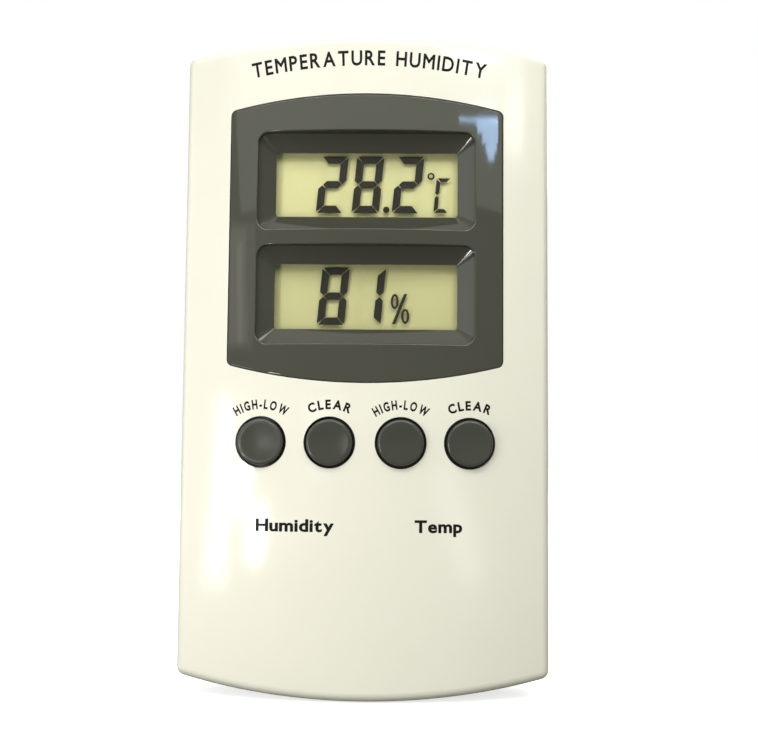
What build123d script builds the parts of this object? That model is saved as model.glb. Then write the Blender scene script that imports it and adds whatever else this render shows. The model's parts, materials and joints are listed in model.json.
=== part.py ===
from build123d import *
import os
from math import sqrt

# Digital thermo-hygrometer, millimetres, +Z up, front facing -Y.
# While it is laid out the front crown is at y = 0 and the lowest point at z = 0;
# every part is moved by SHIFT as it is saved, so the wall keyhole is the origin.

# --- overall body -------------------------------------------------------------
WIDTH = 61.4
HEIGHT = 110.0
DEPTH = 18.5
SPLIT = 11.0
BOW_RADIUS = 120.0
BOTTOM_ARC_RADIUS = 140.3
TOP_ARC_RADIUS = 179.2
CORNER_RADIUS = 1.6
EDGE_ROUND = 1.5
WALL = 2.0
REAR_WALL = 1.6
FIT = 0.05
GAP = 0.3

# --- dark panel and windows ---------------------------------------------------
PANEL_WIDTH = 45.7
PANEL_BOTTOM = 51.5
PANEL_TOP = 99.75
PANEL_BOTTOM_RADIUS = 88.5
PANEL_TOP_RADIUS = 110.0
PANEL_CORNER = 1.0
PANEL_SEAM = 0.12
PANEL_THICKNESS = 3.05
PANEL_EDGE_ROUND = 0.22
UPPER_WINDOW_Z = 85.35
LOWER_WINDOW_Z = 66.2
WINDOW_OUTER = (36.3, 16.5)
WINDOW_INNER = (30.8, 11.05)
WINDOW_DEPTH = 4.1
WINDOW_SHOULDER = 2.2
WINDOW_OUTER_CORNER = 1.9
WINDOW_INNER_CORNER = 0.5

# --- displays -----------------------------------------------------------------
LCD_HALF_WIDTH = 17.2
LCD_TOP = 7.4
LCD_GLASS_BOTTOM = -5.8
LCD_LEDGE_BOTTOM = -8.8
LCD_FRONT = 4.40
POLARISER = 0.15
GLASS = 0.55
BOARD_FRONT = 8.0
BOARD_THICKNESS = 1.4

# --- buttons ------------------------------------------------------------------
BUTTON_Z = 41.65
BUTTON_X = (-16.98, -5.59, 6.06, 17.37)
BUTTON_NAMES = (
    "humidity_max_min_button",
    "humidity_reset_button",
    "temperature_max_min_button",
    "temperature_reset_button",
)
BUTTON_RADIUS = 3.75
BUTTON_HOLE_RADIUS = 4.25
BUTTON_PROUD = 1.05
BUTTON_FLANGE_RADIUS = 4.8
BUTTON_FLANGE_FRONT = 4.4
BUTTON_FLANGE_BACK = 5.2

# --- fastenings ---------------------------------------------------------------
CASE_SCREW_X = 26.85
CASE_SCREW_Z = (14.5, 103.0)
BOARD_SCREW_X = 26.2
BOARD_SCREW_Z = (38.5, 96.5)
SCREW_RADIUS = 0.8
PILOT_RADIUS = 0.85

# --- battery bay --------------------------------------------------------------
CELL_RADIUS = 5.25
CELL_LENGTH = 44.5
CELL_Y = 11.5
LOWER_CELL_Z = 12.2
UPPER_CELL_Z = 24.0
BAY_HALF = 23.85
BAY_BOTTOM = 6.4
BAY_TOP = 30.0
BAY_FRONT = 6.1
CONTACT = 0.4

# --- battery door -------------------------------------------------------------
DOOR_HALF = 24.6
DOOR_TOP = 31.3
DOOR_AXIS_Y = 17.2
DOOR_AXIS_Z = 8.0
DOOR_BARREL = 1.3
DOOR_PIN = 0.8

# --- fold-out stand -----------------------------------------------------------
STAND_HALF = 14.0
STAND_TOP = 78.6
STAND_AXIS_Y = 17.1
STAND_AXIS_Z = 38.6
STAND_BARREL = 1.3
STAND_PIN = 1.0
PIN_CLEARANCE = 0.07

# --- wall keyhole -------------------------------------------------------------
KEYHOLE_ENTRY_Z = 94.5
KEYHOLE_ENTRY_RADIUS = 3.8
KEYHOLE_SLOT_Z = 99.0
KEYHOLE_SLOT_RADIUS = 2.0

# --- unit switch --------------------------------------------------------------
SWITCH_X = 21.0
SWITCH_Z = 86.0
SWITCH_TRAVEL = 2.0

SHIFT = (0.0, -DEPTH, -KEYHOLE_SLOT_Z)


# --- helpers ------------------------------------------------------------------
def prism(face, y0, y1):
    """A sketch drawn in x and z, given thickness from y0 to y1."""
    return extrude(Plane.XZ.offset(-y1) * face, y1 - y0)


def block(x0, x1, y0, y1, z0, z1):
    centre = Pos((x0 + x1) / 2, (y0 + y1) / 2, (z0 + z1) / 2)
    return centre * Box(x1 - x0, y1 - y0, z1 - z0)


def rod(x, z, radius, y0, y1):
    return prism(Pos(x, z) * Circle(radius), y0, y1)


def cross_rod(y, z, radius, x0, x1):
    turned = Rot(0, 90, 0) * Cylinder(radius, x1 - x0)
    return Pos((x0 + x1) / 2, y, z) * turned


def pad(x, z, width, height, corner, y0, y1):
    return prism(Pos(x, z) * RectangleRounded(width, height, corner), y0, y1)


def bow(radius):
    """Upright cylinder whose front line is the bowed face."""
    return Pos(0, BOW_RADIUS, HEIGHT / 2) * Cylinder(radius, HEIGHT * 2)


def on_bow(point):
    """Whether a point lies on the outer bowed surface."""
    reach = sqrt(point.X**2 + (point.Y - BOW_RADIUS) ** 2)
    return abs(reach - BOW_RADIUS) < 0.02 and point.Y < 10


def bow_y(x, radius):
    return BOW_RADIUS - sqrt(radius * radius - x * x)


def arched_face(half, low, low_radius, high, high_radius, corner):
    """Outline with straight sides and arched bottom and top edges."""
    low_side = low + low_radius - sqrt(low_radius**2 - half**2)
    high_side = high - high_radius + sqrt(high_radius**2 - half**2)
    outline = [
        ThreePointArc((-half, low_side), (0, low), (half, low_side)),
        Line((half, low_side), (half, high_side)),
        ThreePointArc((half, high_side), (0, high), (-half, high_side)),
        Line((-half, high_side), (-half, low_side)),
    ]
    face = make_face(outline)
    if corner > 0:
        face = fillet(face.vertices(), corner)
    return face


def body_face(inset):
    low_radius = BOTTOM_ARC_RADIUS - inset
    high_radius = TOP_ARC_RADIUS - inset
    corner = max(CORNER_RADIUS - inset, 0.4)
    half = WIDTH / 2 - inset
    return arched_face(half, inset, low_radius, HEIGHT - inset, high_radius, corner)


def panel_face(inset):
    low_radius = PANEL_BOTTOM_RADIUS - inset
    high_radius = PANEL_TOP_RADIUS - inset
    corner = max(PANEL_CORNER - inset, 0.3)
    half = PANEL_WIDTH / 2 - inset
    low = PANEL_BOTTOM + inset
    high = PANEL_TOP - inset
    return arched_face(half, low, low_radius, high, high_radius, corner)


def save(shape, name):
    export_step(Pos(*SHIFT) * shape, "parts/" + name + ".step")


# --- case shells --------------------------------------------------------------
def front_case():
    outer = prism(body_face(0), -2, SPLIT) & bow(BOW_RADIUS)
    rim = outer.edges().filter_by(lambda e: e.bounding_box().max.Y < 4.4)
    outer = fillet(rim, EDGE_ROUND)
    inner = prism(body_face(WALL), -2, SPLIT + 1) & bow(BOW_RADIUS - WALL)
    shell = outer - inner
    tongue = prism(body_face(1.05), SPLIT - 0.6, SPLIT + 1.0)
    tongue -= prism(body_face(WALL), SPLIT - 2, SPLIT + 2)
    shell += tongue
    shell -= prism(panel_face(-PANEL_SEAM), -2, 9)
    for x in BUTTON_X:
        shell -= rod(x, BUTTON_Z, BUTTON_HOLE_RADIUS, -2, 5)
    for side in (-1, 1):
        for z in CASE_SCREW_Z:
            shell += rod(side * CASE_SCREW_X, z, 1.75, 3.8, SPLIT - FIT)
        for z in BOARD_SCREW_Z:
            shell += rod(side * BOARD_SCREW_X, z, 1.9, 3.8, BOARD_FRONT - FIT)
    for side in (-1, 1):
        for z in CASE_SCREW_Z:
            shell -= rod(side * CASE_SCREW_X, z, PILOT_RADIUS, 5.3, SPLIT + 1)
        for z in BOARD_SCREW_Z:
            shell -= rod(side * BOARD_SCREW_X, z, PILOT_RADIUS, 4.9, SPLIT)
    return shell


def keyhole_cut():
    cut = rod(0, KEYHOLE_ENTRY_Z, KEYHOLE_ENTRY_RADIUS, 13.3, DEPTH + 1)
    cut += rod(0, KEYHOLE_SLOT_Z, KEYHOLE_SLOT_RADIUS, 13.3, DEPTH + 1)
    half = KEYHOLE_SLOT_RADIUS
    cut += block(-half, half, 13.3, DEPTH + 1, KEYHOLE_ENTRY_Z, KEYHOLE_SLOT_Z)
    cut += pad(0, 96.2, 9.2, 10.6, 2.0, 13.3, DEPTH - REAR_WALL)
    return cut


def battery_bay(shell):
    shell += block(-25.05, 25.05, 5.3, 17.2, 5.2, 32.0)
    for side in (-1, 1):
        inner, outer = sorted((side * 24.9, side * 26.4))
        shell += block(inner, outer, 15.2, 17.6, 6.2, 10.0)
    shell -= block(-BAY_HALF, BAY_HALF, BAY_FRONT, DEPTH + 1, BAY_BOTTOM, BAY_TOP)
    door_half = DOOR_HALF + GAP
    shell -= block(-door_half, door_half, 16.75, DEPTH + 1, BAY_BOTTOM, DOOR_TOP + GAP)
    barrel_top = DOOR_AXIS_Z + DOOR_BARREL + GAP
    shell -= block(-door_half, door_half, 15.5, DEPTH + 1, BAY_BOTTOM, barrel_top)
    middle = (LOWER_CELL_Z + UPPER_CELL_Z) / 2
    shell += block(-20, 20, BAY_FRONT - 0.2, 8.4, middle - 0.45, middle + 0.45)
    shell -= cross_rod(DOOR_AXIS_Y, DOOR_AXIS_Z, DOOR_PIN + PIN_CLEARANCE, -25.9, 25.9)
    for z in (LOWER_CELL_Z, UPPER_CELL_Z):
        shell -= block(-23.9, -23.3, 5, 6.4, z - 5.0, z - 3.2)
    return shell


def stand_recess(shell):
    shell += block(-16.2, 16.2, 14.3, 17.2, 34.8, 84.4)
    shell -= block(-14.4, 14.4, 15.5, DEPTH + 1, 36.0, STAND_TOP + 0.4)
    shell -= pad(0, STAND_TOP, 11, 6.8, 3.0, 15.5, DEPTH + 1)
    shell -= cross_rod(STAND_AXIS_Y, STAND_AXIS_Z, STAND_PIN + PIN_CLEARANCE, -15.8, 15.8)
    return shell


def rear_case():
    outer = prism(body_face(0), SPLIT, DEPTH)
    rim = outer.faces().sort_by(Axis.Y)[-1].edges()
    outer = fillet(rim, EDGE_ROUND)
    shell = outer - prism(body_face(WALL), SPLIT - 1, DEPTH - REAR_WALL)
    for side in (-1, 1):
        for z in CASE_SCREW_Z:
            shell += rod(side * CASE_SCREW_X, z, 2.6, SPLIT, DEPTH - 1)
    shell = shell & prism(body_face(0), 0, DEPTH)
    shell = battery_bay(shell)
    shell = stand_recess(shell)
    shell += block(-6.0, 6.0, 12.2, 17.2, 89.6, 102.8)
    shell -= keyhole_cut()
    groove = prism(body_face(1.0), SPLIT - 0.5, SPLIT + 1.1)
    groove -= prism(body_face(WALL + FIT), SPLIT - 2, SPLIT + 2)
    shell -= groove
    for side in (-1, 1):
        for z in CASE_SCREW_Z:
            shell -= rod(side * CASE_SCREW_X, z, 1.85, 13.5, DEPTH + 1)
            shell -= rod(side * CASE_SCREW_X, z, 1.05, SPLIT - 1, 14)
    slot = pad(SWITCH_X, SWITCH_Z, 4.8, 2.8, 0.6, 15, DEPTH + 1)
    slot += pad(SWITCH_X, SWITCH_Z, 8.4, 5.4, 1.2, DEPTH - 0.7, DEPTH + 1)
    shell -= slot
    for n in range(6):
        shell -= pad(-22.0, 80.0 + 2.4 * n, 8.6, 1.2, 0.55, 16, DEPTH + 1)
    return shell


# --- dark panel ---------------------------------------------------------------
def window_sketch(size, corner, z):
    return Pos(0, z) * RectangleRounded(size[0], size[1], corner)


def window_cut(z):
    shoulder = prism(window_sketch(WINDOW_OUTER, WINDOW_OUTER_CORNER, z), -2, WINDOW_SHOULDER)
    outer = Plane.XZ.offset(-WINDOW_SHOULDER) * window_sketch(WINDOW_OUTER, WINDOW_OUTER_CORNER, z)
    inner = Plane.XZ.offset(-WINDOW_DEPTH) * window_sketch(WINDOW_INNER, WINDOW_INNER_CORNER, z)
    slope = loft([outer.faces()[0], inner.faces()[0]])
    through = prism(window_sketch(WINDOW_INNER, WINDOW_INNER_CORNER, z), WINDOW_DEPTH, 9)
    return shoulder + slope + through


def window_funnel(z):
    wide = Plane.XZ.offset(-2.6) * window_sketch((38.6, 18.8), 2.4, z)
    narrow = Plane.XZ.offset(-4.35) * window_sketch((33.2, 13.8), 1.8, z)
    return loft([wide.faces()[0], narrow.faces()[0]])


def display_bezel():
    panel = prism(panel_face(0), -2, 9) & bow(BOW_RADIUS)
    panel -= bow(BOW_RADIUS - PANEL_THICKNESS)
    flange = prism(panel_face(-1.1), -2, 12) & bow(BOW_RADIUS - WALL - FIT)
    flange -= bow(BOW_RADIUS - PANEL_THICKNESS)
    panel += flange
    for z in (UPPER_WINDOW_Z, LOWER_WINDOW_Z):
        panel += window_funnel(z)
    for z in (UPPER_WINDOW_Z, LOWER_WINDOW_Z):
        panel -= window_cut(z)
    crown = panel.faces().filter_by(lambda f: on_bow(f.center()))
    return fillet(crown.edges(), PANEL_EDGE_ROUND)


# --- displays -----------------------------------------------------------------
def lcd_layers(z):
    """Front polariser, front glass, rear glass and reflector of one display."""
    half = LCD_HALF_WIDTH
    y1 = LCD_FRONT
    y2 = y1 + POLARISER
    y3 = y2 + GLASS
    y4 = y3 + FIT
    y5 = y4 + GLASS
    y6 = y5 + FIT
    polariser = block(-half + 0.4, half - 0.4, y1, y2, z - 6.2, z + 6.8)
    front = block(-half, half, y2 + 0.01, y3, z + LCD_LEDGE_BOTTOM, z + LCD_TOP)
    rear = block(-half, half, y4, y5, z + LCD_GLASS_BOTTOM, z + LCD_TOP)
    reflector = block(-half + 0.3, half - 0.3, y6, y6 + 0.2, z + LCD_GLASS_BOTTOM + 0.1, z + 7.2)
    return polariser, front, rear, reflector


def zebra_strip(z):
    top = LCD_FRONT + POLARISER + GLASS + FIT
    return block(-16.4, 16.4, top, BOARD_FRONT - FIT, z - 8.4, z - 6.2)


def lcd_holder():
    frame = pad(0, 75.1, 39.0, 39.0, 1.0, 5.25, BOARD_FRONT - FIT)
    for z in (UPPER_WINDOW_Z, LOWER_WINDOW_Z):
        frame -= block(-17.5, 17.5, 4, 6.1, z - 9.05, z + 7.6)
        frame -= block(-16.8, 16.8, 4, 9, z - 8.7, z - 5.95)
        frame -= block(-14, 14, 4, 9, z - 4.2, z + 5.0)
    return frame


# --- buttons ------------------------------------------------------------------
def button_cap(x):
    front = bow_y(x, BOW_RADIUS) - BUTTON_PROUD
    cap = rod(x, BUTTON_Z, BUTTON_RADIUS, front, BUTTON_FLANGE_BACK)
    cap = fillet(cap.faces().sort_by(Axis.Y)[0].edges(), 0.4)
    cap -= Pos(x, front - 39.88, BUTTON_Z) * Sphere(40.0)
    cap += rod(x, BUTTON_Z, BUTTON_FLANGE_RADIUS, BUTTON_FLANGE_FRONT, BUTTON_FLANGE_BACK)
    cap -= rod(x, BUTTON_Z, 2.9, front + 1.4, BUTTON_FLANGE_BACK + 1)
    cap += rod(x, BUTTON_Z, 1.4, front + 1.2, BUTTON_FLANGE_BACK + 0.15)
    return cap


def keypad_sheet():
    sheet = pad(0.2, BUTTON_Z, 47.4, 10.2, 1.5, 7.2, BOARD_FRONT - FIT)
    for x in BUTTON_X:
        sheet -= rod(x, BUTTON_Z, 3.0, 6, 9)
    return sheet


def button_dome(x):
    profile = [(0, 5.42), (1.9, 5.42), (2.2, 5.75), (3.5, 6.85), (3.9, 6.85), (3.9, 7.15)]
    profile += [(3.1, 7.15), (1.7, 6.0), (0, 6.0), (0, 5.42)]
    outline = make_face(Polyline(*profile))
    return Pos(x, 0, BUTTON_Z) * revolve(outline, Axis.Y)


def button_pill(x):
    return rod(x, BUTTON_Z, 1.2, 6.05, 7.05)


# --- board and its components -------------------------------------------------
BOARD_BACK = BOARD_FRONT + BOARD_THICKNESS


def circuit_board():
    board = pad(0, 67.0, 55.8, 65.0, 1.0, BOARD_FRONT, BOARD_BACK)
    for side in (-1, 1):
        for z in BOARD_SCREW_Z:
            board -= rod(side * BOARD_SCREW_X, z, 1.0, 7, 11)
    return board


def board_screws():
    found = []
    for side in (-1, 1):
        for z in BOARD_SCREW_Z:
            x = side * BOARD_SCREW_X
            head = rod(x, z, 1.6, BOARD_BACK + 0.03, BOARD_BACK + 1.1)
            head = fillet(head.faces().sort_by(Axis.Y)[-1].edges(), 0.4)
            screw = head + rod(x, z, SCREW_RADIUS, 5.0, BOARD_BACK + 0.1)
            screw -= block(x - 0.9, x + 0.9, BOARD_BACK + 0.6, 12, z - 0.2, z + 0.2)
            screw -= block(x - 0.2, x + 0.2, BOARD_BACK + 0.6, 12, z - 0.9, z + 0.9)
            found.append(screw)
    return Compound(children=found)


def chip_covers():
    found = []
    for x, z in ((-6.0, 57.0), (8.5, 70.0)):
        ball = Pos(x, BOARD_BACK - 8.0, z) * Sphere(9.5)
        found.append(ball & rod(x, z, 7, BOARD_BACK + 0.03, BOARD_BACK + 3))
    return Compound(children=found)


def crystal_cans():
    found = []
    for x, z in ((-16.0, 64.0), (19.0, 62.0)):
        found.append(Pos(x, BOARD_BACK + 1.1, z) * Cylinder(1.0, 6.0))
    return Compound(children=found)


def electrolytic_capacitor():
    can = Pos(-20.0, BOARD_BACK + 2.35, 50.0) * Cylinder(2.25, 7.0)
    return fillet(can.edges(), 0.3)


def chip_parts(places, length, height):
    found = []
    for x, z in places:
        y0 = BOARD_BACK + 0.02
        found.append(block(x - length / 2, x + length / 2, y0, y0 + height, z - 0.6, z + 0.6))
    return Compound(children=found)


def chip_capacitors():
    return chip_parts(((-1, 78), (3, 78), (-14, 74), (20, 70), (20, 55)), 2.0, 1.0)


def chip_resistors():
    return chip_parts(((-1, 81), (3, 81), (-20, 74), (24, 70), (24, 55)), 2.0, 0.5)


def thermistor_bead():
    bead = Pos(-24.0, BOARD_BACK + 2.6, 91.5) * Sphere(1.3)
    for side in (-1, 1):
        leg = Pos(-24.0 + side * 0.6, BOARD_BACK + 1.3, 91.5)
        bead += leg * Rot(90, 0, 0) * Cylinder(0.22, 2.54)
    return bead


def humidity_sensor():
    body = pad(-20.5, 83.5, 9.0, 6.5, 0.6, BOARD_BACK + 0.03, BOARD_BACK + 3.0)
    for n in range(5):
        x = -23.7 + 1.6 * n
        body -= pad(x, 83.5, 0.8, 4.4, 0.35, BOARD_BACK + 2.4, BOARD_BACK + 4)
    return body


def unit_switch_body():
    x = SWITCH_X
    body = block(x - 4.2, x + 4.2, BOARD_BACK + 0.03, 12.7, SWITCH_Z - 2.0, SWITCH_Z + 2.0)
    body -= block(x - 2.35, x + 2.35, 10.5, 13, SWITCH_Z - 1.3, SWITCH_Z + 1.3)
    return body


def unit_switch_slider():
    x = SWITCH_X - SWITCH_TRAVEL / 2
    knob = block(x - 1.0, x + 1.0, 10.85, 17.9, SWITCH_Z - 1.0, SWITCH_Z + 1.0)
    for step in (-0.6, 0.0, 0.6):
        knob -= block(x + step - 0.12, x + step + 0.12, 17.6, 18.5, SWITCH_Z - 1.5, SWITCH_Z + 1.5)
    return knob


# --- power --------------------------------------------------------------------
def aaa_cell(z, side):
    """Cell lying along x with its raised end towards the given side."""
    tip = side * 23.35
    shoulder = tip - side * 0.8
    tail = tip - side * CELL_LENGTH
    x0, x1 = sorted((shoulder, tail))
    body = cross_rod(CELL_Y, z, CELL_RADIUS, x0, x1)
    body = fillet(body.edges(), 0.4)
    x0, x1 = sorted((shoulder - side * 0.3, tip))
    return body + cross_rod(CELL_Y, z, 1.9, x0, x1)


def contact_plate(z, side):
    x0, x1 = sorted((side * (BAY_HALF - 0.45), side * (BAY_HALF - 0.05)))
    return block(x0, x1, 7.2, 15.5, z - 4.4, z + 4.4)


def contact_spring(z, side):
    start = side * (BAY_HALF - 0.5)
    coil = Helix(pitch=0.72, height=1.75, radius=2.6)
    placed = Pos(start, CELL_Y, z) * Rot(0, -90 * side, 0) * coil
    ring = Plane(origin=placed @ 0, z_dir=placed % 0) * Circle(0.28)
    return sweep(ring, path=placed)


def contact_tab(z):
    return block(-BAY_HALF + 0.05, -BAY_HALF + 0.45, 4.85, 7.4, z - 4.7, z - 3.5)


def battery_bridge():
    plate = contact_plate(LOWER_CELL_Z, 1) + contact_plate(UPPER_CELL_Z, 1)
    middle = (LOWER_CELL_Z + UPPER_CELL_Z) / 2
    plate += block(BAY_HALF - 0.45, BAY_HALF - 0.05, 9, 14, middle - 2, middle + 2)
    return plate + contact_spring(UPPER_CELL_Z, 1)


def battery_negative_terminal():
    plate = contact_plate(LOWER_CELL_Z, -1) + contact_tab(LOWER_CELL_Z)
    return plate + contact_spring(LOWER_CELL_Z, -1)


def battery_positive_terminal():
    return contact_plate(UPPER_CELL_Z, -1) + contact_tab(UPPER_CELL_Z)


def battery_wire(z, run_x):
    path = Spline(
        (-BAY_HALF + 0.87, 4.74, z - 4.1),
        (run_x - 1.6, 4.45, z - 3.4),
        (run_x, 4.4, z + 2.0),
        (run_x, 4.4, 28.0),
        (run_x, 4.9, 32.8),
        (run_x, 7.5, 35.4),
    )
    ring = Plane(origin=path @ 0, z_dir=path % 0) * Circle(0.38)
    return sweep(ring, path=path)


# --- moving covers ------------------------------------------------------------
def battery_door():
    door = pad(0, (DOOR_AXIS_Z + DOOR_TOP) / 2, 2 * DOOR_HALF, DOOR_TOP - DOOR_AXIS_Z, 0.6, 17.1, DEPTH)
    door += block(-DOOR_HALF, DOOR_HALF, 17.1, DEPTH, DOOR_AXIS_Z, DOOR_AXIS_Z + 3)
    door += cross_rod(DOOR_AXIS_Y, DOOR_AXIS_Z, DOOR_BARREL, -DOOR_HALF, DOOR_HALF)
    door += cross_rod(DOOR_AXIS_Y, DOOR_AXIS_Z, DOOR_PIN, -25.7, 25.7)
    for n in range(5):
        door -= pad(0, 25.2 + 1.1 * n, 14 - 1.6 * abs(n - 2), 0.5, 0.24, DEPTH - 0.35, DEPTH + 1)
    return door


def fold_out_stand():
    middle = (STAND_AXIS_Z + STAND_TOP) / 2
    plate = pad(0, middle, 2 * STAND_HALF, STAND_TOP - STAND_AXIS_Z, 2.0, 16.5, 18.3)
    plate += block(-STAND_HALF, STAND_HALF, 16.5, 18.3, STAND_AXIS_Z, STAND_AXIS_Z + 5)
    plate -= pad(0, middle, 20, 28, 3.0, 17.7, 20)
    plate += cross_rod(STAND_AXIS_Y, STAND_AXIS_Z, STAND_BARREL, -STAND_HALF, STAND_HALF)
    plate += cross_rod(STAND_AXIS_Y, STAND_AXIS_Z, STAND_PIN, -15.6, 15.6)
    return plate


def case_screws():
    found = []
    for side in (-1, 1):
        for z in CASE_SCREW_Z:
            x = side * CASE_SCREW_X
            head = rod(x, z, 1.6, 13.55, 14.8)
            head = fillet(head.faces().sort_by(Axis.Y)[-1].edges(), 0.4)
            screw = head + rod(x, z, SCREW_RADIUS, 5.5, 13.7)
            screw -= block(x - 1.1, x + 1.1, 14.2, 16, z - 0.2, z + 0.2)
            screw -= block(x - 0.2, x + 0.2, 14.2, 16, z - 1.1, z + 1.1)
            found.append(screw)
    return Compound(children=found)


# --- write every piece --------------------------------------------------------
os.makedirs("parts", exist_ok=True)
save(front_case(), "front_case")
save(display_bezel(), "display_bezel")
for place, height in (("upper", UPPER_WINDOW_Z), ("lower", LOWER_WINDOW_Z)):
    layers = lcd_layers(height)
    save(layers[0], place + "_lcd_front_polariser")
    save(layers[1], place + "_lcd_front_glass")
    save(layers[2], place + "_lcd_rear_glass")
    save(layers[3], place + "_lcd_reflector")
    save(zebra_strip(height), place + "_zebra_strip")
save(lcd_holder(), "lcd_holder")
for name, centre in zip(BUTTON_NAMES, BUTTON_X):
    save(button_cap(centre), name)
    save(button_dome(centre), name + "_dome")
    save(button_pill(centre), name + "_pill")
save(keypad_sheet(), "keypad_sheet")
save(circuit_board(), "circuit_board")
save(board_screws(), "board_screws")
save(chip_covers(), "chip_covers")
save(crystal_cans(), "crystal_cans")
save(electrolytic_capacitor(), "electrolytic_capacitor")
save(chip_capacitors(), "chip_capacitors")
save(chip_resistors(), "chip_resistors")
save(thermistor_bead(), "thermistor_bead")
save(humidity_sensor(), "humidity_sensor")
save(unit_switch_body(), "unit_switch_body")
save(unit_switch_slider(), "unit_switch_slider")
save(aaa_cell(UPPER_CELL_Z, -1), "upper_battery")
save(aaa_cell(LOWER_CELL_Z, 1), "lower_battery")
save(battery_bridge(), "battery_bridge")
save(battery_negative_terminal(), "battery_negative_terminal")
save(battery_positive_terminal(), "battery_positive_terminal")
save(battery_wire(UPPER_CELL_Z, -20.0), "red_battery_wire")
save(battery_wire(LOWER_CELL_Z, -17.5), "black_battery_wire")
save(rear_case(), "rear_case")
save(battery_door(), "battery_door")
save(fold_out_stand(), "fold_out_stand")
save(case_screws(), "case_screws")
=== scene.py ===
import bpy
import bmesh
import json
import math
from mathutils import Matrix, Vector


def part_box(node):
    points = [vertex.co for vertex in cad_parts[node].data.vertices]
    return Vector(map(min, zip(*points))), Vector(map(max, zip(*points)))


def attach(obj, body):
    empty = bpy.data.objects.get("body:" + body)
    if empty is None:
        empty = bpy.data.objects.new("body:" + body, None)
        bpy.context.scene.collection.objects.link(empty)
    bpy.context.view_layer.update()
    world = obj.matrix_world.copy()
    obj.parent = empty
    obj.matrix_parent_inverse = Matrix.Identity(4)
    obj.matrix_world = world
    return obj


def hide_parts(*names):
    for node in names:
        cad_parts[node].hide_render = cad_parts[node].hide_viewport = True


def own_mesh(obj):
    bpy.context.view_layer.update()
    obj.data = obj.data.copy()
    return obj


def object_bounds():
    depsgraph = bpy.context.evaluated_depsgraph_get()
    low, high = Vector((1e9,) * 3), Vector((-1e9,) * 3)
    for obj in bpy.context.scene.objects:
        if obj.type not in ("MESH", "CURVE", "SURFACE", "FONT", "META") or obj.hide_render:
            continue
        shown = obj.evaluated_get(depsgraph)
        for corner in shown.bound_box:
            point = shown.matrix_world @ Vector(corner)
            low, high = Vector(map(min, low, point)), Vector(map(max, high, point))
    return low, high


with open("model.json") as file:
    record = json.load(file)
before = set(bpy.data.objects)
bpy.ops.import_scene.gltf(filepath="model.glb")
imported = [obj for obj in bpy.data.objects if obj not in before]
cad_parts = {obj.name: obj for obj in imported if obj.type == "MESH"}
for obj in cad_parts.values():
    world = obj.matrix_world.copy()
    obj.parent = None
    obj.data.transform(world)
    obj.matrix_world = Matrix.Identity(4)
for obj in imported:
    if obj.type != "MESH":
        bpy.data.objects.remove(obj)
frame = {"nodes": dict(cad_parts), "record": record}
cad_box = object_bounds()
nodes = frame["nodes"]
MM = 0.001


# ---------------------------------------------------------------- reference points
def centre_of(node):
    """Middle of a node's box at rest."""
    low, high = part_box(node)
    return [(a + b) / 2 for a, b in zip(low, high)]


case_low, case_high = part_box("front_case")
CENTRE_X, _, CENTRE_Z = centre_of("front_case")
FRONT_Y = case_low[1]                      # front crown of the bowed face
BASE_Z = case_low[2]
BOW = 120.0 * MM                           # radius of the bowed face


def bow_y(x):
    """Depth of the bowed front at x."""
    return FRONT_Y + BOW - math.sqrt(BOW * BOW - (x - CENTRE_X) ** 2)


# ---------------------------------------------------------------- camera
CAMERA_RIGHT = 5.343 * MM                  # from the middle of the case
CAMERA_AWAY = 170.0 * MM                   # from the front crown
CAMERA_RISE = 40.03 * MM                   # from the foot of the case
CAMERA_TURNS = (94.105, -0.509, 0.943)     # about x, y and z, in degrees: 90, 0, 0 looks straight back

camera_data = bpy.data.cameras.new("camera")
camera_data.sensor_width = 36.0
camera_data.lens = 49.5
camera_data.clip_start = 0.005
camera = bpy.data.objects.new("camera", camera_data)
camera.location = (CENTRE_X + CAMERA_RIGHT, FRONT_Y - CAMERA_AWAY, BASE_Z + CAMERA_RISE)
camera.rotation_euler = [math.radians(turn) for turn in CAMERA_TURNS]
bpy.context.scene.collection.objects.link(camera)
bpy.context.scene.camera = camera


# ---------------------------------------------------------------- shaders
def linear(*rgb):
    """sRGB bytes to linear RGBA."""
    channels = []
    for byte in rgb:
        share = byte / 255.0
        channels.append(share / 12.92 if share <= 0.04045 else ((share + 0.055) / 1.055) ** 2.4)
    return (*channels, 1.0)


def shade(colour, factor):
    return (colour[0] * factor, colour[1] * factor, colour[2] * factor, 1.0)


def grain(scale, height, detail=2.0):
    """One bump layer: noise scale per metre and bump height in metres."""
    return [(scale, height, detail)]


NOISE_LOW, NOISE_HIGH = 0.3, 0.7           # the range that noise values mostly fall in
ROUGHNESS_SCALE = 120.0
MOTTLE_SCALE = 45.0


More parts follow.
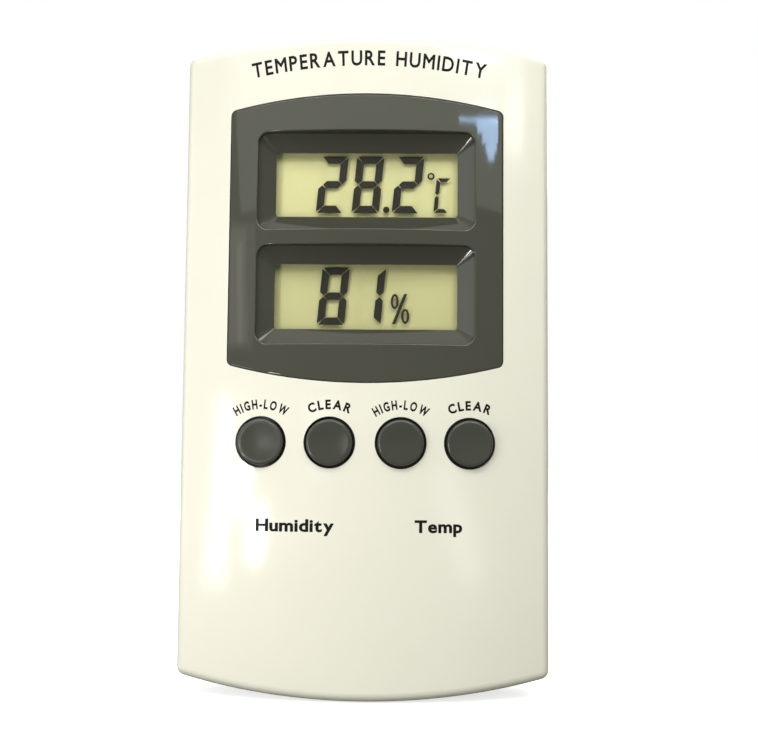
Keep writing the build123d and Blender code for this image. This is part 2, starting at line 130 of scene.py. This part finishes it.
class Surface:
    """A Principled material with object-space noise for colour, roughness and relief."""

    def __init__(self, name):
        self.material = bpy.data.materials.new(name)
        self.material.use_nodes = True
        self.tree = self.material.node_tree
        self.bsdf = self.tree.nodes["Principled BSDF"]
        self.surface_out = self.tree.nodes["Material Output"].inputs["Surface"]
        self.coords = self.tree.nodes.new("ShaderNodeTexCoord")

    def node(self, kind, **settings):
        made = self.tree.nodes.new(kind)
        for key, value in settings.items():
            setattr(made, key, value)
        return made

    def link(self, output, socket):
        self.tree.links.new(output, socket)

    def noise(self, scale, detail=3.0, stretch=None):
        """Noise value in object space, stretched along an axis where its factor is under 1."""
        texture = self.node("ShaderNodeTexNoise")
        texture.inputs["Scale"].default_value = scale
        texture.inputs["Detail"].default_value = detail
        place = self.coords.outputs["Object"]
        if stretch:
            mapping = self.node("ShaderNodeMapping")
            mapping.inputs["Scale"].default_value = stretch
            self.link(place, mapping.inputs["Vector"])
            place = mapping.outputs["Vector"]
        self.link(place, texture.inputs["Vector"])
        return texture.outputs["Fac"]

    def ramp(self, factor, low, high):
        """Colour that goes from one (place, colour) stop to the other as the factor grows."""
        ramp = self.node("ShaderNodeValToRGB")
        for element, (place, colour) in zip(ramp.color_ramp.elements, (low, high)):
            element.position = place
            element.color = colour
        self.link(factor, ramp.inputs["Fac"])
        return ramp.outputs["Color"]

    def spread(self, factor, low, high):
        """Value between low and high that follows a noise value."""
        spread = self.node("ShaderNodeMapRange")
        spread.inputs["From Min"].default_value = NOISE_LOW
        spread.inputs["From Max"].default_value = NOISE_HIGH
        spread.inputs["To Min"].default_value = low
        spread.inputs["To Max"].default_value = high
        self.link(factor, spread.inputs["Value"])
        return spread.outputs["Result"]

    def colour(self, base, scale, vary, detail=3.0, stretch=None):
        """Base colour that varies by a small share on either side."""
        noise = self.noise(scale, detail, stretch)
        varied = self.ramp(noise, (0.35, shade(base, 1 - vary)), (0.65, shade(base, 1 + vary)))
        self.link(varied, self.bsdf.inputs["Base Color"])
        return self

    def painted_shade_and_mottle(self, base, reach, depth):
        """Base colour with shade painted into concave corners within reach, times a faint random mottle."""
        # painted shade: ambient occlusion darkens the base colour where corners would be in shade
        hollow = self.node("ShaderNodeAmbientOcclusion")
        hollow.samples = 8
        hollow.inputs["Distance"].default_value = reach
        painted_shade = self.ramp(hollow.outputs["AO"], (0.25, shade(base, depth)), (0.75, shade(base, 1.0)))
        mottle = self.ramp(self.noise(MOTTLE_SCALE), (0.35, (0.95, 0.95, 0.95, 1)), (0.65, (1, 1, 1, 1)))
        product = self.node("ShaderNodeMix", data_type="RGBA", blend_type="MULTIPLY")
        product.inputs["Factor"].default_value = 1.0
        self.link(painted_shade, product.inputs[6])
        self.link(mottle, product.inputs[7])
        self.link(product.outputs[2], self.bsdf.inputs["Base Color"])
        return self

    def rough(self, low, high):
        self.link(self.spread(self.noise(ROUGHNESS_SCALE), low, high), self.bsdf.inputs["Roughness"])
        return self

    def relief(self, layers):
        """Bump layers from grain(), the later ones on top."""
        normal = None
        for scale, height, detail in layers:
            bump = self.node("ShaderNodeBump")
            bump.inputs["Distance"].default_value = height
            bump.inputs["Strength"].default_value = 1.0
            self.link(self.noise(scale, detail), bump.inputs["Height"])
            if normal:
                self.link(normal, bump.inputs["Normal"])
            normal = bump.outputs["Normal"]
        self.link(normal, self.bsdf.inputs["Normal"])
        return self

    def gloss(self, coat=0.0, specular=0.5, metallic=0.0):
        self.bsdf.inputs["Coat Weight"].default_value = coat
        self.bsdf.inputs["Coat Roughness"].default_value = 0.05
        self.bsdf.inputs["Specular IOR Level"].default_value = specular
        self.bsdf.inputs["Metallic"].default_value = metallic
        return self


def plastic(name, base, rough, layers, vary=0.02, coat=0.0, specular=0.5):
    surface = Surface(name).colour(base, 45.0, vary).rough(*rough)
    return surface.relief(layers).gloss(coat=coat, specular=specular).material


def panel_plastic(name, base, rough):
    """Polished plastic, slightly wavy, with shade painted into its corners."""
    # painted shade: ambient occlusion within 1.2 mm darkens the colour down to 0.22 of the base
    surface = Surface(name).painted_shade_and_mottle(base, 1.2 * MM, 0.22).rough(*rough)
    waves = grain(60, 1e-5, 1.0) + grain(380, 1.6e-6, 1.0)
    return surface.relief(waves + grain(1800, 3e-7)).gloss().material


def metal(name, base, rough, scale=500.0):
    """Metal with streaks drawn out along z."""
    surface = Surface(name).colour(base, scale, 0.06, 4.0, (1, 1, 0.15)).rough(*rough)
    return surface.relief(grain(scale * 3, 2e-6, 3.0)).gloss(metallic=1.0).material


def clear(name, tint, rough):
    """Clear sheet: its surface reflects as glass does, and the rest of the light goes straight through."""
    surface = Surface(name)
    through = surface.node("ShaderNodeBsdfTransparent")
    tinted = surface.ramp(surface.noise(90.0), (0.3, tint), (0.7, shade(tint, 0.995)))
    surface.link(tinted, through.inputs["Color"])
    gloss = surface.node("ShaderNodeBsdfGlossy")
    surface.link(surface.spread(surface.noise(60.0), rough, rough * 1.4), gloss.inputs["Roughness"])
    fresnel = surface.node("ShaderNodeFresnel")
    fresnel.inputs["IOR"].default_value = 1.2
    mixed = surface.node("ShaderNodeMixShader")
    surface.link(fresnel.outputs["Fac"], mixed.inputs["Fac"])
    surface.link(through.outputs["BSDF"], mixed.inputs[1])
    surface.link(gloss.outputs["BSDF"], mixed.inputs[2])
    surface.link(mixed.outputs["Shader"], surface.surface_out)
    return surface.material


def reflector(name, base):
    return plastic(name, base, (0.5, 0.6), grain(3000, 3e-6), specular=0.2)


def segment(name, base, vary=0.02, specular=0.2):
    return plastic(name, base, (0.5, 0.6), grain(1500, 1e-6), vary, specular=specular)


# ---------------------------------------------------------------- materials
CREAM = shade(linear(246, 243, 225), 0.88)
PANEL = shade(linear(84, 84, 72), 0.69)
KEY = shade(linear(74, 75, 66), 0.76)
SCREEN = (0.765, 0.72, 0.362, 1.0)
# the lower display's reflector: the same screen colour with shade painted in, 0.82 as bright
LOWER_SCREEN_PAINTED_SHADE = shade(SCREEN, 0.82)
GHOST = 0.97                               # shade of a segment that is off

cream_waves = grain(70, 5e-5, 1.0) + grain(1500, 1e-6)
key_waves = grain(160, 6e-5, 1.5) + grain(2600, 2e-6)
looks = {
    "cream_gloss_plastic": plastic("cream_gloss", CREAM, (0.09, 0.13), cream_waves, 0.012),
    "cream_plastic": plastic("cream_textured", shade(CREAM, 0.97), (0.40, 0.55), grain(2600, 2.2e-5), 0.015),
    # the panel's corners carry painted shade
    "dark_gloss_plastic": panel_plastic("panel_gloss_painted_shade", PANEL, (0.03, 0.05)),
    "button_plastic": plastic("button_gloss", KEY, (0.10, 0.16), key_waves, 0.06),
    "display_film": clear("display_film", linear(252, 252, 246), 0.10),
    "display_glass": clear("display_glass", linear(254, 255, 254), 0.08),
    "connector_rubber": plastic("zebra_rubber", linear(70, 70, 74), (0.6, 0.75), grain(900, 1e-5)),
    "holder_plastic": plastic("holder_white", linear(225, 225, 218), (0.4, 0.5), grain(1800, 1e-5)),
    "keypad_rubber": plastic("keypad_rubber", linear(150, 150, 146), (0.55, 0.7), grain(1200, 1e-5)),
    "carbon_rubber": plastic("carbon_rubber", linear(32, 32, 33), (0.7, 0.8), grain(1200, 1e-5)),
    "board_laminate": plastic("board_green", linear(24, 92, 48), (0.25, 0.4), grain(700, 1.2e-5, 4.0), 0.12),
    "steel": metal("zinc_steel", linear(190, 190, 188), (0.28, 0.4)),
    "nickel_plate": metal("nickel_plate", linear(206, 203, 192), (0.16, 0.28)),
    "black_resin": plastic("black_resin", linear(22, 22, 23), (0.2, 0.32), grain(300, 4e-5), 0.1),
    "black_plastic": plastic("black_plastic", linear(30, 30, 31), (0.42, 0.55), grain(2200, 1.4e-5), 0.08),
    "capacitor_sleeve": plastic("capacitor_sleeve", linear(24, 34, 78), (0.25, 0.35), grain(500, 6e-6), 0.08),
    "ceramic_chip": plastic("ceramic_chip", linear(176, 150, 116), (0.4, 0.55), grain(1600, 6e-6), 0.08),
    "sensor_plastic": plastic("sensor_white", linear(226, 230, 233), (0.4, 0.5), grain(1600, 8e-6)),
    "battery_jacket": plastic("battery_jacket", linear(58, 64, 78), (0.22, 0.32), grain(400, 8e-6), 0.08,
                              coat=0.3),
    "red_insulation": plastic("red_insulation", linear(176, 28, 26), (0.35, 0.45), grain(900, 6e-6), 0.06),
    "black_insulation": plastic("black_insulation", linear(26, 26, 27), (0.35, 0.45), grain(900, 6e-6), 0.06),
    "display_reflector": reflector("display_reflector", SCREEN),
}
ink = plastic("printing_ink", linear(20, 19, 16), (0.5, 0.65), grain(1500, 3e-6), 0.05, specular=0.15)
copper = metal("copper_band", linear(205, 142, 92), (0.2, 0.3))
segment_on = segment("segment_dark", linear(50, 48, 42), 0.03, 0.1)
segment_off = {
    "upper": segment("segment_ghost", shade(SCREEN, GHOST)),
    # the lower display's unlit bars carry the same painted shade
    "lower": segment("lower_segment_ghost_painted_shade", shade(LOWER_SCREEN_PAINTED_SHADE, GHOST)),
}

slot_of = {row["node"]: row["material_slot"] for row in frame["record"]["subparts"]}
for name, part in nodes.items():
    part.data.materials.clear()
    part.data.materials.append(looks[slot_of[name]])
# painted shade: the lower display gets a darker copy of the reflector
nodes["lower_lcd_reflector"].data.materials[0] = reflector("lower_display_reflector_painted_shade", LOWER_SCREEN_PAINTED_SHADE)


# ---------------------------------------------------------------- meshes
def make_piece(name, shape, material):
    """Closed piece from a bmesh, which rides on the body."""
    bmesh.ops.recalc_face_normals(shape, faces=shape.faces)
    mesh = bpy.data.meshes.new(name)
    shape.to_mesh(mesh)
    shape.free()
    mesh.materials.append(material)
    piece = bpy.data.objects.new(name, mesh)
    bpy.context.scene.collection.objects.link(piece)
    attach(piece, "body")
    return piece


def plates(name, outlines, depth, material):
    """Closed flat plates from outlines in x and z, with their fronts at one depth."""
    thick = 0.02 * MM
    shape = bmesh.new()
    for outline in outlines:
        front = [shape.verts.new((x, depth, z)) for x, z in outline]
        back = [shape.verts.new((x, depth + thick, z)) for x, z in outline]
        shape.faces.new(front)
        shape.faces.new(back[::-1])
        for i in range(len(outline)):
            j = (i + 1) % len(outline)
            shape.faces.new((front[j], front[i], back[i], back[j]))
    return make_piece(name, shape, material)


def circle(count):
    """Angles of the points of a circle."""
    return [2 * math.pi * i / count for i in range(count)]


# ---------------------------------------------------------------- printed words
INK_DEPTH = 0.01 * MM                      # half the thickness of the ink
INK_LIFT = 0.004 * MM                      # from the case to the middle of the ink
CAP_SHARE = 0.729                          # capital height as a share of the letter size
SPACE_SHARE = 0.32                         # width of a word space, the same way


def glyph(character, size, stroke):
    """Letter thickened by stroke, as (vertices, faces, width), with its baseline at 0."""
    curve = bpy.data.curves.new("glyph", "FONT")
    curve.body = character
    curve.size = size
    curve.bevel_depth = stroke
    curve.bevel_resolution = 0
    curve.extrude = INK_DEPTH
    curve.resolution_u = 3
    holder = bpy.data.objects.new("glyph", curve)
    bpy.context.scene.collection.objects.link(holder)
    bpy.context.view_layer.update()
    mesh = bpy.data.meshes.new_from_object(holder)
    flatten = INK_DEPTH / (stroke + INK_DEPTH)
    points = [Vector((v.co.x, v.co.y, v.co.z * flatten)) for v in mesh.vertices]
    faces = [tuple(p.vertices) for p in mesh.polygons]
    bpy.data.objects.remove(holder)
    bpy.data.curves.remove(curve)
    bpy.data.meshes.remove(mesh)
    left = min(p.x for p in points)
    width = max(p.x for p in points) - left
    return [Vector((p.x - left, p.y, p.z)) for p in points], faces, width


def lettering(name, words, centre, baseline, cap, span, stroke, radius=None):
    """Words that fill a span of a line, or of an arc with this radius, on the bowed front."""
    size = cap / CAP_SHARE
    space = size * SPACE_SHARE
    gap = size * (0.12 if radius else 0.06)
    letters = [None if c == " " else glyph(c, size, stroke) for c in words]
    inked = sum(space if letter is None else letter[2] for letter in letters)
    narrow = (span - gap * (len(words) - 1)) / inked
    cursor = -span / 2
    shape = bmesh.new()
    for letter in letters:
        if letter is None:
            cursor += space * narrow + gap
            continue
        points, faces, width = letter
        middle = cursor + width * narrow / 2
        made = []
        for p in points:
            across = (p.x - width / 2) * narrow
            if radius:
                turn = middle / radius
                reach = radius + p.y
                x = centre + reach * math.sin(turn) + across * math.cos(turn)
                z = baseline - radius + reach * math.cos(turn) - across * math.sin(turn)
            else:
                x = centre + middle + across
                z = baseline + p.y
            made.append(shape.verts.new((x, bow_y(x) - INK_LIFT - p.z, z)))
        for face in faces:
            shape.faces.new([made[i] for i in face])
        cursor += width * narrow + gap
    bmesh.ops.remove_doubles(shape, verts=shape.verts, dist=1e-7)
    return make_piece(name, shape, ink)


def title():
    """The two quantities, on an arc along the top edge."""
    lettering("title_lettering", "TEMPERATURE HUMIDITY", CENTRE_X + 0.3 * MM, case_high[2] - 5.3 * MM,
              cap=2.6 * MM, span=39.2 * MM, stroke=0.08 * MM, radius=110 * MM)


def key_label(button, word, span):
    """A word on an arc over its button."""
    middle_x, _, middle_z = centre_of(button)
    lettering(button + "_label", word, middle_x, middle_z + 5.5 * MM,
              cap=1.5 * MM, span=span, stroke=0.085 * MM, radius=7.4 * MM)


def caption(quantity, word, right, span):
    """The quantity under its pair of buttons; right is its distance from the middle of the case."""
    _, _, middle_z = centre_of(quantity + "_max_min_button")
    lettering(quantity + "_lettering", word, CENTRE_X + right, middle_z - 14.45 * MM,
              cap=2.0 * MM, span=span, stroke=0.10 * MM)


QUANTITIES = ("humidity", "temperature")
BUTTONS = [quantity + kind for quantity in QUANTITIES for kind in ("_max_min_button", "_reset_button")]

title()
for button in BUTTONS:
    if "max_min" in button:
        key_label(button, "HIGH-LOW", 8.7 * MM)
    else:
        key_label(button, "CLEAR", 6.8 * MM)
caption("humidity", "Humidity", -11.1 * MM, 12.9 * MM)
caption("temperature", "Temp", 12.3 * MM, 7.8 * MM)


# ---------------------------------------------------------------- display segments
DIGIT = (4.65, 9.8, 1.27)                  # width, height and bar width in mm
UNIT_LETTER = (2.5, 6.0, 0.68)
LIT = {"2": "abged", "8": "abcdefg", "1": "bc", "C": "adef"}      # the bars that are on
SLANT = math.tan(math.radians(5.2))
SEGMENT_GAP = 0.075


def seven_segments(width, height, bar):
    """Outlines in mm of the seven bars of an upright digit, from its lower left corner."""
    middle = height / 2
    half = bar / 2
    gap = SEGMENT_GAP
    cut = bar * 0.12
    point = half + gap * 1.4
    inner = bar + gap
    top = [(gap + cut, height), (width - gap - cut, height),
           (width - inner, height - bar), (inner, height - bar)]
    upper = [(0, height - gap - cut), (bar, height - inner), (bar, middle + half + gap),
             (half, middle + gap * 1.4), (0, middle + half + gap)]
    lower = [(x, height - z) for x, z in upper]
    return {
        "a": top,
        "b": [(width - x, z) for x, z in upper],
        "c": [(width - x, z) for x, z in lower],
        "d": [(x, height - z) for x, z in top],
        "e": lower,
        "f": upper,
        "g": [(point, middle), (inner, middle + half), (width - inner, middle + half),
              (width - point, middle), (width - inner, middle - half), (inner, middle - half)],
    }


def digit(character, foot, size):
    """Lit and unlit bars of a slanted digit whose lower left corner is at foot."""
    bars = {}
    for key, outline in seven_segments(*size).items():
        bars[key] = [(foot[0] + (x + z * SLANT) * MM, foot[1] + z * MM) for x, z in outline]
    lit = [bars[key] for key in LIT[character]]
    unlit = [outline for key, outline in bars.items() if key not in LIT[character]]
    return lit, unlit


def disc(centre, radius, stretch=1.0, count=24):
    """Outline of a round or, stretched upwards, oval spot."""
    x, z = centre
    return [(x + radius * math.cos(a), z + radius * stretch * math.sin(a)) for a in circle(count)]


def ring(centre, outer, line, stretch=1.0, count=24):
    """A round or oval ring as quads."""
    inner = outer - line
    big = disc(centre, outer, stretch, count)
    small = disc(centre, inner, (outer * stretch - line) / inner, count)
    return [(big[i], big[(i + 1) % count], small[(i + 1) % count], small[i]) for i in range(count)]


def from_film(place):
    """Function that turns mm to the right of and above the middle of a display's film into x and z."""
    middle_x, _, middle_z = centre_of(place + "_lcd_front_polariser")
    return lambda right, up: (middle_x + right * MM, middle_z + up * MM)


def segments(place, digits, marks):
    """Dark segments behind the front glass, and faint ones on the reflector where a bar is off."""
    lit = []
    unlit = []
    for character, foot, size in digits:
        on, off = digit(character, foot, size)
        lit += on
        unlit += off
    behind_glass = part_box(place + "_lcd_front_glass")[1][1] + 0.01 * MM
    on_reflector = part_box(place + "_lcd_reflector")[0][1] - 0.03 * MM
    plates(place + "_lcd_segments", lit + marks, behind_glass, segment_on)
    plates(place + "_lcd_unlit_segments", unlit, on_reflector, segment_off[place])


def cell(place):
    """Film, front glass and rear glass bonded into one clear cell with ground edges."""
    layers = ("front_polariser", "front_glass", "rear_glass")
    film, front, rear = [place + "_lcd_" + layer for layer in layers]
    glass_low, glass_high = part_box(front)
    low = (glass_low[0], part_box(film)[0][1], glass_low[2])
    high = (glass_high[0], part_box(rear)[1][1], glass_high[2])
    shape = bmesh.new()
    bmesh.ops.create_cube(shape, size=1.0)
    for v in shape.verts:
        v.co = Vector([(low[i] + high[i]) / 2 + v.co[i] * (high[i] - low[i]) for i in range(3)])
    bmesh.ops.bevel(shape, geom=shape.edges[:], offset=0.08 * MM, segments=1, affect="EDGES")
    piece = make_piece(place + "_lcd_cell", shape, looks["display_glass"])
    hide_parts(film, front, rear)


def upper_display():
    """Three digits with a decimal point, a degree ring and the unit letter."""
    at = from_film("upper")
    digits = [("2", at(-8.7, -4.9), DIGIT), ("8", at(-2.6, -4.9), DIGIT), ("2", at(4.25, -4.9), DIGIT)]
    unit = ("C", at(11.35, -4.8), UNIT_LETTER)
    decimal_point = disc(at(3.33, -4.3), 0.55 * MM)
    degree = ring(at(10.93, 1.52), 0.62 * MM, 0.29 * MM)
    segments("upper", digits + [unit], [decimal_point] + degree)
    cell("upper")


def lower_display():
    """Two digits and a percent sign."""
    at = from_film("lower")
    digits = [("8", at(-8.3, -4.95), DIGIT), ("1", at(-2.15, -4.95), DIGIT)]
    percent = []
    for centre in (at(4.9, -0.9), at(6.68, -3.4)):
        percent += ring(centre, 0.68 * MM, 0.40 * MM, stretch=1.9)
    percent.append([at(4.45, -4.75), at(5.0, -4.75), at(7.0, 0.4), at(6.45, 0.4)])
    segments("lower", digits, percent)
    cell("lower")


upper_display()
lower_display()


# ---------------------------------------------------------------- turned pieces
def turned(name, profile, place, material, hollow=False, count=40):
    """A piece turned from (radius, depth) in mm: capped at both ends, or a tube when hollow."""
    shape = bmesh.new()
    turns = circle(count)
    rings = []
    for radius, depth in profile:
        points = [(radius * MM * math.cos(a), radius * MM * math.sin(a)) for a in turns]
        rings.append([shape.verts.new(place(u, v, depth * MM)) for u, v in points])
    following = rings[1:] + rings[:1] if hollow else rings[1:]
    for near, far in zip(rings, following):
        for i in range(count):
            j = (i + 1) % count
            shape.faces.new((near[i], near[j], far[j], far[i]))
    if not hollow:
        for rim, depth in ((rings[0], profile[0][1]), (rings[-1], profile[-1][1])):
            hub = shape.verts.new(place(0, 0, depth * MM))
            for i in range(count):
                shape.faces.new((rim[i], rim[(i + 1) % count], hub))
    return make_piece(name, shape, material)


# (radius, depth) in mm, from the narrow end at the button, down the outside of the bell, over its foot
# and back up the inside
DOME_PROFILE = [(1.85, 0.0), (2.05, 0.08), (2.25, 0.36), (3.40, 1.36), (3.60, 1.43), (3.88, 1.45),
                (3.88, 1.73), (3.10, 1.73), (2.90, 1.60), (1.80, 0.66), (1.60, 0.58)]


def rubber_dome(button):
    """Soft bell under a button."""
    low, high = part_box(button + "_dome")
    middle_x, _, middle_z = centre_of(button + "_dome")
    piece = turned(button + "_soft_dome", DOME_PROFILE,
                   lambda u, v, depth: (middle_x + u, low[1] + depth, middle_z + v),
                   looks["keypad_rubber"])
    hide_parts(button + "_dome")
    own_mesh(piece)


BAND_NEAR, BAND_FAR = 1.5, 11.0            # ends of a cell's band, in mm from the cell's tip
BAND_EDGE = 0.05


def cell_band(battery, end):
    """Copper-coloured band on the jacket near the raised end of a cell: end is -1 or 1 along x."""
    low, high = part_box(battery)
    _, middle_y, middle_z = centre_of(battery)
    tip = high[0] if end > 0 else low[0]
    jacket = (high[2] - low[2]) / 2 / MM
    inner = jacket + 0.005
    outer = jacket + 0.04
    profile = [(inner, BAND_NEAR), (outer, BAND_NEAR + BAND_EDGE),
               (outer, BAND_FAR - BAND_EDGE), (inner, BAND_FAR)]
    turned(battery + "_band", profile, lambda u, v, depth: (tip - end * depth, middle_y + u, middle_z + v),
           copper, hollow=True, count=64)


for button in BUTTONS:
    rubber_dome(button)
cell_band("upper_battery", -1)
cell_band("lower_battery", 1)


# ---------------------------------------------------------------- floor
FLOOR_SIZE = 6.0
FLOOR_DROP = 0.2 * MM                      # from the object to the floor
FLOOR_GLOW = 0.72


def floor_material():
    """Pale paper that looks white to the camera and is dim in reflections and bounced light."""
    surface = Surface("floor_white").colour(linear(235, 235, 232), 3.0, 0.01).rough(0.6, 0.7)
    glow = surface.node("ShaderNodeEmission")
    glow.inputs["Strength"].default_value = FLOOR_GLOW
    paper = surface.node("ShaderNodeAddShader")
    surface.link(glow.outputs["Emission"], paper.inputs[0])
    surface.link(surface.bsdf.outputs["BSDF"], paper.inputs[1])
    dim = surface.node("ShaderNodeBsdfDiffuse")
    greys = surface.ramp(surface.noise(3.0), (0.3, (0.2, 0.2, 0.19, 1)), (0.7, (0.21, 0.21, 0.2, 1)))
    surface.link(greys, dim.inputs["Color"])
    seen = surface.node("ShaderNodeLightPath")
    choice = surface.node("ShaderNodeMixShader")
    surface.link(seen.outputs["Is Camera Ray"], choice.inputs["Fac"])
    surface.link(dim.outputs["BSDF"], choice.inputs[1])
    surface.link(paper.outputs["Shader"], choice.inputs[2])
    surface.link(choice.outputs["Shader"], surface.surface_out)
    return surface.material


bpy.ops.mesh.primitive_plane_add(size=FLOOR_SIZE, location=(CENTRE_X, FRONT_Y, cad_box[0][2] - FLOOR_DROP))
floor = bpy.context.object
floor.name = "floor"
floor.data.materials.append(floor_material())


# ---------------------------------------------------------------- lights
def softbox(name, azimuth, elevation, distance, width, height, roll, radiance):
    """Rectangular light aimed at the middle of the face. Azimuth 0 is in front, positive to the right."""
    data = bpy.data.lights.new(name, "AREA")
    data.shape = "RECTANGLE"
    data.size = width
    data.size_y = height
    brightest = max(radiance)
    data.energy = brightest * width * height * math.pi
    data.color = [channel / brightest for channel in radiance]
    light = bpy.data.objects.new(name, data)
    target = Vector((CENTRE_X, FRONT_Y, CENTRE_Z))
    a = math.radians(azimuth)
    e = math.radians(elevation)
    away = Vector((math.sin(a) * math.cos(e), -math.cos(a) * math.cos(e), math.sin(e)))
    light.location = target + away * distance
    turn = away.to_track_quat("Z", "Y").to_matrix() @ Matrix.Rotation(math.radians(roll), 3, "Z")
    light.rotation_euler = turn.to_euler()
    light.visible_camera = False
    bpy.context.scene.collection.objects.link(light)


SKY_BLUE = (6.6, 10.0, 15.0)
PANE_WHITE = (8, 8, 8)
GLINT_WHITE = (45, 45, 45)
WINDOW = 0.62                              # distance of the window and of the left patch, in metres
LIGHTS = {
    # name: azimuth, elevation, distance, width, height, roll, radiance
    # fill from above and in front
    "overhead": (0, 78, 0.8, 0.8, 0.8, 0, (0.5, 0.49, 0.48)),
    "front_top": (0, 46, 0.35, 0.175, 0.11, 0, (4.6, 4.6, 4.8)),
    "front_high": (0, 27, 0.8, 0.9, 0.3, 0, (0.95, 0.97, 0.88)),
    "right_near": (30, 44, 0.2, 0.07, 0.07, 0, (5.2, 5.2, 5.3)),
    "left_high": (-28, 40, 0.4, 0.14, 0.14, 0, (5.0, 5.0, 5.2)),
    # soft light on the left side of the case
    "left_side": (-72, 8, 0.2, 0.10, 0.16, 0, (0.9, 0.91, 1.0)),
    # a patch that fades outwards, mirrored in the left edge of the panel
    "left_patch": (-31.4, 10, WINDOW, 0.075, 0.095, 0, (0.5, 0.47, 0.43)),
    "left_core": (-31.2, 10, WINDOW, 0.045, 0.085, 3, (0.6, 0.57, 0.53)),
    "left_slit": (-30.4, 9.5, WINDOW, 0.012, 0.075, 5, (0.7, 0.67, 0.62)),
    # mirrored in the cap of the first button
    "left_square": (-12.6, -2, 0.3, 0.03, 0.03, 0, (2.3, 2.3, 2.35)),
    # a slanted streak low on the right of the case
    "right_streak": (23.6, -13.8, 0.16, 0.017, 0.045, 38, (1.6, 1.6, 1.6)),
    # a window mirrored in a corner of the panel: a wide bar over a post that narrows downwards, in steps
    "window_bar": (23.9, 21.42, WINDOW, 0.092, 0.0035, -1, SKY_BLUE),
    "window_head": (26.06, 21.13, WINDOW, 0.050, 0.0038, 0, SKY_BLUE),
    "window_knee": (26.5, 20.73, WINDOW, 0.042, 0.0053, 0, SKY_BLUE),
    "window_post": (26.9, 20.15, WINDOW, 0.0306, 0.0073, 0, SKY_BLUE),
    "window_foot": (27.0, 19.5, WINDOW, 0.021, 0.0066, 0, SKY_BLUE),
    "window_toe": (26.9, 18.97, WINDOW, 0.013, 0.0053, 0, SKY_BLUE),
    # the rest of the window, mirrored in the case beside and above the panel
    "window_pane": (33.0, 21.5, WINDOW, 0.03, 0.05, 0, PANE_WHITE),
    "window_top": (24.7, 26.2, WINDOW, 0.10, 0.02, 0, PANE_WHITE),
    # a pale band down the left of the case
    "left_band": (-42.8, -12.3, 0.117, 0.013, 0.05, -8, (5.0, 5.0, 5.2)),
    "band_core": (-43.4, -11, 0.117, 0.006, 0.044, -6, (3.0, 3.0, 3.1)),
    # sparks in the corners of the two display recesses, and one for edges that face the right
    "glint_upper": (-34.4, -9, 0.143, 0.007, 0.018, -25, GLINT_WHITE),
    "glint_lower": (-34.2, -20.4, 0.1, 0.006, 0.013, -25, GLINT_WHITE),
    "side_glint": (62.8, 10, 0.6, 0.006, 0.016, 0, (18, 22, 26)),
    # fill for the back
    "back_fill": (170, 40, 0.9, 0.8, 0.8, 0, (3.2, 3.2, 3.1)),
}
for light_name, row in LIGHTS.items():
    softbox(light_name, *row)


# ---------------------------------------------------------------- sky
SKY_LEVEL = 0.31
SKY_TINT = (0.98, 1.0, 0.92, 1.0)
SKY_LEAN = (-0.3, 0.0, 0.75)               # share by which the sky brightens along each axis


def studio_sky():
    """Soft sky that is brighter above and on the left, and plain white to the camera."""
    world = bpy.data.worlds.new("studio")
    world.use_nodes = True
    tree = world.node_tree
    side = tree.nodes.new("ShaderNodeTexCoord")
    lean = tree.nodes.new("ShaderNodeVectorMath")
    lean.operation = "DOT_PRODUCT"
    lean.inputs[1].default_value = SKY_LEAN
    level = tree.nodes.new("ShaderNodeMath")
    level.operation = "MULTIPLY_ADD"
    level.inputs[1].default_value = SKY_LEVEL
    level.inputs[2].default_value = SKY_LEVEL
    sky = tree.nodes["Background"]
    sky.inputs["Color"].default_value = SKY_TINT
    white = tree.nodes.new("ShaderNodeBackground")
    white.inputs["Color"].default_value = (1, 1, 1, 1)
    white.inputs["Strength"].default_value = 1.0
    seen = tree.nodes.new("ShaderNodeLightPath")
    choice = tree.nodes.new("ShaderNodeMixShader")
    tree.links.new(side.outputs["Generated"], lean.inputs[0])
    tree.links.new(lean.outputs["Value"], level.inputs[0])
    tree.links.new(level.outputs["Value"], sky.inputs["Strength"])
    tree.links.new(seen.outputs["Is Camera Ray"], choice.inputs["Fac"])
    tree.links.new(sky.outputs["Background"], choice.inputs[1])
    tree.links.new(white.outputs["Background"], choice.inputs[2])
    tree.links.new(choice.outputs["Shader"], tree.nodes["World Output"].inputs["Surface"])
    return world


bpy.context.scene.world = studio_sky()
bpy.context.scene.view_settings.view_transform = "Standard"

bpy.context.view_layer.update()
